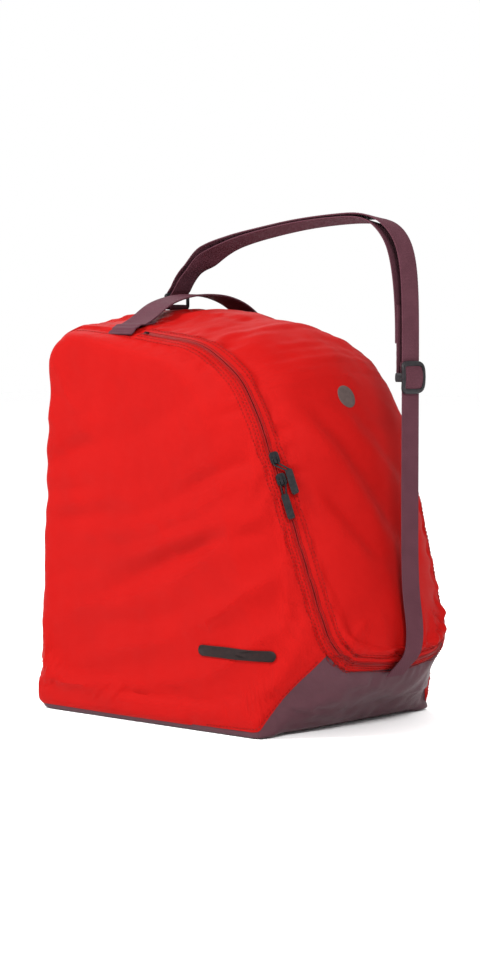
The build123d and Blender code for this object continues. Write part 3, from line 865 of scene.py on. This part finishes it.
TAPE_LIFT, CLOTH_LIFT = 0.65 * MM, 0.6 * MM
NEAR_EDGE, NEAR_COIL, PAST_TAPE = TAPE_HALF - 1.6 * MM, TAPE_HALF - 4.2 * MM, TAPE_HALF + 2.0 * MM
flap_lines = stitches(*beside(skin.chain, -NEAR_EDGE, TAPE_LIFT))
flap_lines += stitches(*beside(skin.chain, -PAST_TAPE, 0.3 * MM))
sew(joined_object("stitching_flap", flap_lines, THREAD), "flap")
body_lines = []
for offset, lift in ((NEAR_EDGE, TAPE_LIFT), (NEAR_COIL, TAPE_LIFT), (PAST_TAPE, CLOTH_LIFT)):
    body_lines += stitches(*beside(skin.chain, offset, lift))
rear_part = skin.seam[skin.seam[:, 1] > HINGE_Y + 4 * MM]
rear_part = rear_part[rear_part[:, 2] > 12 * MM]
for upright in (rear_part[rear_part[:, 0] < 0], rear_part[rear_part[:, 0] > 0]):
    body_lines += stitches(*beside(upright, TAPE_HALF + 2.5 * MM, CLOTH_LIFT))
edge = gusset_line()
for mirror in (1, -1):
    line = edge * np.array([mirror, 1, 1])
    body_lines += stitches(*beside(line, -mirror * 2.2 * MM, CLOTH_LIFT))
sew(joined_object("stitching_body", body_lines, THREAD), "body")


# ---------------------------------------------------------------- webbing
def spline(points, count):
    """A smooth clamped cubic curve guided by the points, evenly spaced."""
    points = np.array(points, float)
    degree = min(3, len(points) - 1)
    inner = len(points) - degree
    knots = np.concatenate([np.zeros(degree), np.linspace(0, 1, inner + 1), np.ones(degree)])
    result = []
    for t in np.linspace(0, 1, count * 4):
        k = min(max(np.searchsorted(knots, t, side="right") - 1, degree), len(points) - 1)
        d = [points[j + k - degree] for j in range(degree + 1)]
        for r in range(1, degree + 1):
            for j in range(degree, r - 1, -1):
                low, high = knots[j + k - degree], knots[j + 1 + k - r]
                a = (t - low) / (high - low)
                d[j] = (1 - a) * d[j - 1] + a * d[j]
        result.append(d[degree])
    result = np.array(result)
    lengths = run_lengths(result)
    return rows_at(np.linspace(0, lengths[-1], count), lengths, result)


def webbing(path, width=WEBBING, thickness=WEBBING_T, twist=None, across=(1, 0, 0), crown=0.0, start_v=0.0):
    """A woven band along a path: flat with rounded selvedges and ribs across it."""
    path = np.asarray(path)
    tangents = unit(np.gradient(path, axis=0))
    wide = np.tile(np.array(across, float), (len(path), 1))
    wide = unit(wide - (wide * tangents).sum(1, keepdims=True) * tangents)
    up = np.cross(wide, tangents)
    turn = np.radians(np.zeros(len(path)) if twist is None else np.asarray(twist))[:, None]
    wide, up = np.cos(turn) * wide + np.sin(turn) * up, np.cos(turn) * up - np.sin(turn) * wide
    lengths = run_lengths(path)
    half, edge = width / 2, thickness / 2
    flat = np.linspace(-1, 1, 12)
    ring = []
    for side in (1, -1):
        for u in flat[::side]:
            ring.append((half * u * 0.985, side * edge * (1 - 0.25 * abs(u) ** 8) + crown * (1 - u * u)))
        ring += [(side * half, side * 0.25 * edge), (side * half, -side * 0.25 * edge)]
    ring = np.array(ring)
    ribs = 0.10 * MM * np.sin(lengths / (1.1 * MM) * math.pi)
    points = []
    for i in range(len(path)):
        grown = ring.copy()
        grown[:, 1] += np.sign(ring[:, 1]) * ribs[i]
        points.append(path[i] + grown[:, :1] * wide[i] + grown[:, 1:] * up[i])
    count = len(ring)
    faces = ring_quads(len(path), count) + end_caps(len(path), count)
    uv = np.array([[ring[k, 0], lengths[i] + start_v] for i in range(len(path)) for k in range(count)])
    return np.vstack(points), faces, uv


def web_object(name, path, **how):
    points, faces, uv = webbing(path, **how)
    piece = new_object(name, points, faces, WEB, uv)
    piece.data.set_sharp_from_angle(angle=math.radians(55))
    return piece


def side_spline(points, count):
    """A spline through the middle plane, from (y, z) points."""
    return spline([(0, y, z) for y, z in points], count)


# shoulder strap: the outer run from the sewn end to the ring, and the doubled run back from the ring
STRAIGHT_Z = (0.21, 0.26, 0.30, 0.34, 0.38)
STRAP_OUT = side_spline(
    [
        (-0.2035, 0.0530), (-0.2075, 0.0575), (-0.2150, 0.0650), (-0.2245, 0.0740), (-0.2275, 0.0880),
        (-0.2272, 0.1060), (-0.2225, 0.1300), (-0.2208, 0.1600), *((STRAP_Y, z) for z in STRAIGHT_Z),
        (-0.2200, 0.4150), (-0.2175, 0.4450), (-0.2100, 0.4690), (-0.1920, 0.4850), (-0.1700, 0.4905),
        (-0.1350, 0.4895), (-0.0850, 0.4860), (-0.0400, 0.4790), (0.0000, 0.4730), (0.0270, 0.4655),
        (0.0475, 0.4560), (0.0640, 0.4452), (0.0748, 0.4350), (0.0806, 0.4247),
    ],
    560,
)
STRAP_BACK = side_spline(
    [
        (-0.2122, 0.3690), (-0.2122, 0.3850), (-0.2115, 0.4050), (-0.2090, 0.4300), (-0.2045, 0.4520),
        (-0.1980, 0.4670), (-0.1850, 0.4800), (-0.1690, 0.4868), (-0.1350, 0.4868), (-0.0850, 0.4835),
        (-0.0400, 0.4765), (-0.0050, 0.4700), (0.0210, 0.4618), (0.0405, 0.4525), (0.0585, 0.4418),
        (0.0702, 0.4322), (0.0768, 0.4213),
    ],
    340,
)
TWIST_TOP = -13.0
TWIST_REAR = -28.0


def arch_twist(path):
    """The arch turns about its own length: a little along its top, more above the ring, none at its ends."""
    y, z = path[:, 1], path[:, 2]
    top = TWIST_TOP * ramp((y + 0.205) / 0.05) * ramp((z - 0.44) / 0.03)
    rear = ramp((y - 0.004) / 0.048)
    return (top * (1 - rear) + TWIST_REAR * rear) * ramp((0.064 - y) / 0.026)


def first_index(path, test):
    return int(np.argmax([test(p) for p in path]))


def strap_pieces(path, rows):
    """Cuts one line of webbing into named lengths; each rides one body, or is fixed in place where two
    bodies are listed.
    """
    twist = arch_twist(path)
    low = 0
    for name, end, replaced, how in rows:
        high = first_index(path, end) if end else len(path) - 1
        run = run_lengths(path[:low + 1])[-1]
        piece = web_object(name, path[low:high + 1], twist=twist[low:high + 1], start_v=run)
        if replaced:
            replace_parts(piece, *replaced)
        if len(how) == 1:
            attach(piece, *how)
        else:
            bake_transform(piece)
        low = high


strap_pieces(STRAP_OUT, (
    ("strap_foot", lambda p: p[2] > 0.185, ("strap_front_end", "strap_base_patch"),
     ("bag", "flap", (0, -0.2, 0.058), (0, -0.2, 0.084))),
    ("strap_rise_low", lambda p: p[2] > 0.262, (), ("flap", "strap", (0, -0.22, 0.187), (0, -0.22, 0.258))),
    ("strap_arch", lambda p: p[1] > 0.0, ("strap_run",), ("strap",)),
    ("strap_tail_a", lambda p: p[1] > 0.028, (), ("strap", "flap", (0, 0.001, 0.47), (0, 0.026, 0.465))),
    ("strap_tail_b", lambda p: p[1] > 0.056, ("strap_rear_end",),
     ("flap", "bag", (0, 0.029, 0.464), (0, 0.055, 0.446))),
    ("strap_tail_c", None, (), ("bag", "ring", (0, 0.057, 0.446), (0, 0.078, 0.428))),
))
strap_pieces(STRAP_BACK, (
    ("return_arch", lambda p: p[1] > -0.003, ("strap_return",), ("strap",)),
    ("return_tail_a", lambda p: p[1] > 0.024, (), ("strap", "flap", (0, -0.002, 0.47), (0, 0.022, 0.46))),
    ("return_tail_b", lambda p: p[1] > 0.052, ("strap_rear_return",),
     ("flap", "bag", (0, 0.025, 0.46), (0, 0.051, 0.442))),
    ("return_tail_c", None, (), ("bag", "ring", (0, 0.053, 0.441), (0, 0.074, 0.424))),
))

# the loop round the ring's upper bar
ring_low, ring_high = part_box("strap_ring")
bar = np.array([0, (ring_low.y + ring_high.y) / 2, ring_high.z - 1.7 * MM])
leg, out = np.array([0, -0.66, 0.751]), np.array([0, 0.751, 0.66])
loop_r = 2.55 * MM
turn = np.linspace(0, math.pi, 22)
arc = [bar + loop_r * (math.cos(a) * out - math.sin(a) * leg) for a in turn]
loop_path = np.array([bar + loop_r * out + leg * s for s in np.linspace(8 * MM, 0.6 * MM, 8)] + arc
                     + [bar - loop_r * out + leg * s for s in np.linspace(0.6 * MM, 8 * MM, 8)])
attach(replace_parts(web_object("ring_loop", loop_path), "strap_loop"), "ring")


# ---------------------------------------------------------------- adjuster
def buckle_ring(half_x, half_z, hole_x, hole_z, thickness, bow):
    """A rounded frame in the XZ plane with one opening, bowed towards -Y at half its height."""
    angles = np.linspace(0, 2 * math.pi, 73)[:-1]
    c, s = np.cos(angles), np.sin(angles)

    def outline(half_wide, half_tall, power):
        wide = half_wide * np.sign(c) * np.abs(c) ** (2 / power)
        return np.stack([wide, half_tall * np.sign(s) * np.abs(s) ** (2 / power)], 1)

    outer, inner = outline(half_x, half_z, 4.5), outline(hole_x, hole_z, 9)
    section = [(-0.06, -0.3), (0.04, -0.8), (0.3, -1), (0.7, -1), (0.94, -0.8), (1.04, -0.3), (1.04, 0.3),
               (0.94, 0.8), (0.7, 1), (0.3, 1), (0.04, 0.8), (-0.06, 0.3)]
    rows = []
    for share, level in section:
        xz = outer * (1 - share) + inner * share
        y = level * thickness / 2 - bow * (1 - (xz[:, 1] / half_z) ** 2)
        rows.append(np.stack([xz[:, 0], y, xz[:, 1]], 1))
    return np.vstack(rows), ring_quads(len(rows), len(angles), closed=True)


glide_low, glide_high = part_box("tri_glide")
glide = (glide_low + glide_high) / 2
BAR_Y = STRAP_Y + 4.2 * MM
points, faces = buckle_ring(0.0166, 0.0153, 0.0131, 0.0108, 3.4 * MM, 2.2 * MM)
parts = [(points + np.array([0, STRAP_Y - 1.9 * MM, glide.z]), faces)]
along_x = np.linspace(-0.0150, 0.0150, 9)
bar_path = np.stack([along_x, np.full(9, BAR_Y), np.full(9, glide.z)], 1)
parts.append(tube(bar_path, np.tile([0, -1, 0], (9, 1)), 1.8 * MM, 1.8 * MM, 14))
for x in (-0.0148, 0.0148):
    reach = STRAP_Y + np.linspace(-3.5, 5.6, 9) * MM
    cheek = np.stack([np.full(9, x), reach, np.full(9, glide.z)], 1)
    parts.append(tube(cheek, np.tile([0, 0, 1], (9, 1)), 1.3 * MM, 4.2 * MM, 16))
buckle = joined_object("buckle_frame", parts, BUCKLE)
buckle.data.set_sharp_from_angle(angle=SHARP)
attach(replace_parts(buckle, "tri_glide"), "buckle")
climb = np.linspace(-1, 1, 41)
swell = [(0, STRAP_Y - (1.7 + 3.3 * (1 - abs(t) ** 2.2)) * MM, glide.z + 0.0118 * t) for t in climb]
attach(web_object("buckle_swell", swell, width=0.0252, crown=0.5 * MM), "buckle")

fold_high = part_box("strap_fold")[1]
fold_r = 2.5 * MM
down = np.linspace(14 * MM, 0, 10)
fold_path = [(0, BAR_Y - fold_r, glide.z + h) for h in down]
turn = np.linspace(0.2, 2.9, 16)
fold_path += [(0, BAR_Y - fold_r * math.cos(a), glide.z - fold_r * math.sin(a)) for a in turn]
fold_path += [(0, BAR_Y + fold_r, glide.z + h) for h in np.linspace(0, fold_high.z - glide.z, 40)]
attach(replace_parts(web_object("buckle_fold", fold_path, thickness=1.2 * MM), "strap_fold"), "buckle")


# ---------------------------------------------------------------- carry handle
handle_low, handle_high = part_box("carry_handle")
handle_y = (handle_low.y + handle_high.y) / 2
HANDLE_W = handle_high.y - handle_low.y
foot_z = handle_low.z + 1.0 * MM
handle_course = [
    (-0.0935, foot_z - 1.6 * MM), (-0.080, foot_z + 4 * MM), (-0.066, foot_z + 14 * MM),
    (-0.050, foot_z + 21.5 * MM), (-0.022, handle_high.z - 0.6 * MM), (0.004, handle_high.z + 0.4 * MM),
    (0.028, handle_high.z - 1.0 * MM), (0.052, foot_z + 21 * MM), (0.067, foot_z + 13 * MM),
    (0.080, foot_z + 4 * MM), (0.0935, foot_z - 1.6 * MM),
]
HANDLE_PATH = spline([(x, handle_y, z) for x, z in handle_course], 220)
left_cut = first_index(HANDLE_PATH, lambda p: p[0] > -0.055)
right_cut = first_index(HANDLE_PATH, lambda p: p[0] > 0.055)
fold_in = {"width": HANDLE_W, "thickness": 2.0 * MM, "across": (0, 1, 0), "crown": 0.6 * MM}
piece = web_object("handle_middle", HANDLE_PATH[left_cut:right_cut + 1], **fold_in)
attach(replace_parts(piece, "carry_handle"), "handle")
for side, sign, root in (("left", -1, HANDLE_PATH[:left_cut + 1]), ("right", 1, HANDLE_PATH[right_cut:])):
    piece = web_object(f"handle_root_{side}", root, **fold_in)
    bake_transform(piece)

for side, sign in (("left", -1), ("right", 1)):
    line = np.array([[sign * x, handle_y, 0.45] for x in np.linspace(0.078, 0.113, 40)])
    ground = [skin.tree.ray_cast(Vector(p), Vector((0, 0, -1)), 1.0)[0] for p in line]
    path = np.array(ground) + np.array([0, 0, 1.6 * MM])
    patch = web_object(f"handle_patch_{side}", path, width=HANDLE_W, thickness=1.6 * MM, across=(0, 1, 0))
    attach(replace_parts(patch, f"handle_end_{side}"), "bag")
    rows = []
    for x in (0.084, 0.088, 0.107, 0.110):
        ys = np.linspace(handle_y - HANDLE_W / 2 + 3 * MM, handle_y + HANDLE_W / 2 - 3 * MM, 24)
        z = np.interp(x, np.abs(path[:, 0]), path[:, 2]) + 0.9 * MM
        row = np.stack([np.full(24, sign * x), ys, np.full(24, z)], 1)
        rows += stitches(row, np.tile([0, 0, 1.0], (24, 1)), 2.2 * MM, 0.8 * MM)
    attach(joined_object(f"handle_stitches_{side}", rows, THREAD_DARK), "bag")

# the tab that holds the ring
tab_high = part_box("strap_anchor_tab")[1]
low_bar = np.array([0, bar[1], ring_low.z + 1.7 * MM])
tab_r = 2.8 * MM
flat_run = np.linspace(0, tab_high.y - bar[1], 24)
wrap = np.linspace(-math.pi / 2, math.pi * 0.95, 26)
tab_path = [(0, tab_high.y - run, low_bar[2] - tab_r - 0.004 * run) for run in flat_run]
tab_path += [(0, low_bar[1] - tab_r * math.cos(a), low_bar[2] + tab_r * math.sin(a)) for a in wrap]
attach(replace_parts(web_object("ring_tab", tab_path), "strap_anchor_tab"), "bag")


# ---------------------------------------------------------------- printed marks, made plain
def patch_on_skin(name, centre, way, outline, lift, material):
    """A thin print laid onto the cloth: outline points are (across, up) around the centre."""
    centre, way = np.array(centre), unit(np.array(way, float))
    up = np.array([0, 0, 1.0])
    across = unit(np.cross(up, -way))
    up = np.cross(-way, across)
    rings = 7
    rows = []
    for share in np.linspace(1, 0, rings):
        flat = [centre - way * 0.1 + across * u * share + up * v * share for u, v in outline]
        rows.append([skin.tree.ray_cast(Vector(p), Vector(way), 0.3)[0] for p in flat])
    points = np.array([[tuple(p) for p in row] for row in rows]) - way * lift
    count = len(outline)
    outer = points.reshape(-1, 3)
    inner = outer + way * 0.25 * MM
    total = len(outer)
    faces = []
    for quad in ring_quads(rings, count):
        faces.append(quad)
        faces.append([q + total for q in quad[::-1]])
    for k in range(count):
        n = (k + 1) % count
        faces.append([n, k, k + total, n + total])
    return new_object(name, np.vstack([outer, inner]), faces, material)


circle = [(0.0105 * math.cos(a), 0.0105 * math.sin(a)) for a in np.linspace(0, 2 * math.pi, 37)[:-1]]
place = (-0.014, -0.17, 0.318)
mark = patch_on_skin("flap_mark", place, (0, 1, 0), circle, 0.45 * MM, PRINT_GREY)
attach(mark, "flap")
bar_half, bar_r = 0.040, 0.0052
edge_half = np.linspace(-bar_half, bar_half, 41)
end_turn = np.linspace(-math.pi / 2, math.pi / 2, 11)[1:-1]
bar_outline = [(u, -bar_r) for u in edge_half]
bar_outline += [(bar_half + bar_r * math.cos(a), bar_r * math.sin(a)) for a in end_turn]
bar_outline += [(u, bar_r) for u in edge_half[::-1]]
bar_outline += [(-bar_half - bar_r * math.cos(a), bar_r * math.sin(-a)) for a in end_turn]
place = (-SIDE_X, -0.112, 0.078)
mark = patch_on_skin("side_mark", place, (1, 0, 0), bar_outline, 2.0 * MM, PRINT)
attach(mark, "bag")


# ---------------------------------------------------------------- parts kept from the frame
KEPT = {
    "lining_floor": LINING, "base_board": BOARD, "strap_ring": BLACK, "slider_upper": BLACK,
    "slider_lower": BLACK, "pull_upper": RUBBER, "pull_lower": RUBBER, "zipper_end_stops": BLACK,
}
for name, material in KEPT.items():
    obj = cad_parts[name]
    obj.data.materials.clear()
    obj.data.materials.append(material)
    obj.data.polygons.foreach_set("material_index", [0] * len(obj.data.polygons))

for level in ("upper", "lower"):
    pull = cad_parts[f"pull_{level}"]
    body = np.array([tuple(v.co) for v in pull.data.vertices])
    slider_middle = np.array(sum((Vector(c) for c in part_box(f"slider_{level}")), Vector()) / 2)
    far = np.linalg.norm(body - slider_middle, axis=1)
    broad = [p for p in pull.data.polygons if p.normal @ Vector((-0.74, -0.67, 0)) > 0.3]
    thin = unit(np.array(max(broad, key=lambda p: p.area).normal))
    grip = body[far > 0.55 * far.max()]
    long = grip.mean(0) - slider_middle
    long = unit(long - thin * (long @ thin))
    wide = np.cross(thin, long)
    axes = np.stack([thin, wide, long])
    low, high = (grip @ axes.T).min(0), (grip @ axes.T).max(0)
    half_thin, half_wide, half_long = (high - low) / 2
    centre = (high + low) / 2 @ axes
    ridges = []
    for step in np.linspace(-0.50, 0.70, 6):
        reach = np.linspace(-0.8, 0.8, 7)[:, None]
        line = centre + long * step * half_long + wide * half_wide * reach + thin * (half_thin - 0.1 * MM)
        ridges.append(tube(line, np.tile(thin, (7, 1)), 0.55 * MM, 0.5 * MM, 8))
    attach(joined_object(f"pull_{level}_ridges", ridges, RUBBER), f"pull_{level}")
    for kept in (pull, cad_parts[f"slider_{level}"]):
        soft = kept.modifiers.new("rounding", "BEVEL")
        soft.width = 0.35 * MM
        soft.segments = 2
        soft.limit_method = "ANGLE"
        soft.angle_limit = SHARP

# ---------------------------------------------------------------- light, floor and camera
scene = bpy.context.scene
scene.view_settings.view_transform = "Standard"
scene.view_settings.look = "None"
world = scene.world or bpy.data.worlds.new("white_room")
scene.world = world
world.use_nodes = True
background = world.node_tree.nodes["Background"]
background.inputs["Color"].default_value = (1, 1, 1, 1)
background.inputs["Strength"].default_value = 1.0


def area(name, place, aim, size, power):
    light = bpy.data.lights.new(name, "AREA")
    light.energy, light.size = power, size
    made = bpy.data.objects.new(name, light)
    scene.collection.objects.link(made)
    made.location = place
    made.rotation_euler = (Vector(aim) - Vector(place)).to_track_quat("-Z", "Y").to_euler()


area("key_light", (-1.75, 0.75, 2.15), (0, 0, 0.2), 0.6, 92)
area("front_light", (-1.5, -2.0, 1.9), (0, 0, 0.2), 0.6, 74)
area("rim_light", (1.0, 1.6, 1.8), (0, 0, 0.2), 1.2, 22)

floor_mesh = bpy.data.meshes.new("floor")
floor_mesh.from_pydata([(-9, -9, 0), (9, -9, 0), (9, 9, 0), (-9, 9, 0)], [], [(0, 1, 2, 3)])
floor = bpy.data.objects.new("floor", floor_mesh)
scene.collection.objects.link(floor)
floor.location.z = -0.2 * MM
floor_mesh.materials.append(shader("floor_paint", 0.7, Base_Color=(0.99, 0.99, 0.99, 1))[0])

camera = bpy.data.cameras.new("camera")
camera.lens, camera.sensor_fit, camera.sensor_height = 93.94, "VERTICAL", 36
eye = bpy.data.objects.new("camera", camera)
scene.collection.objects.link(eye)
eye.location = (-1.849, -1.694, 0.386)
eye.rotation_euler = (math.radians(90 - 3.536), 0, math.radians(-47.56))
scene.camera = eye
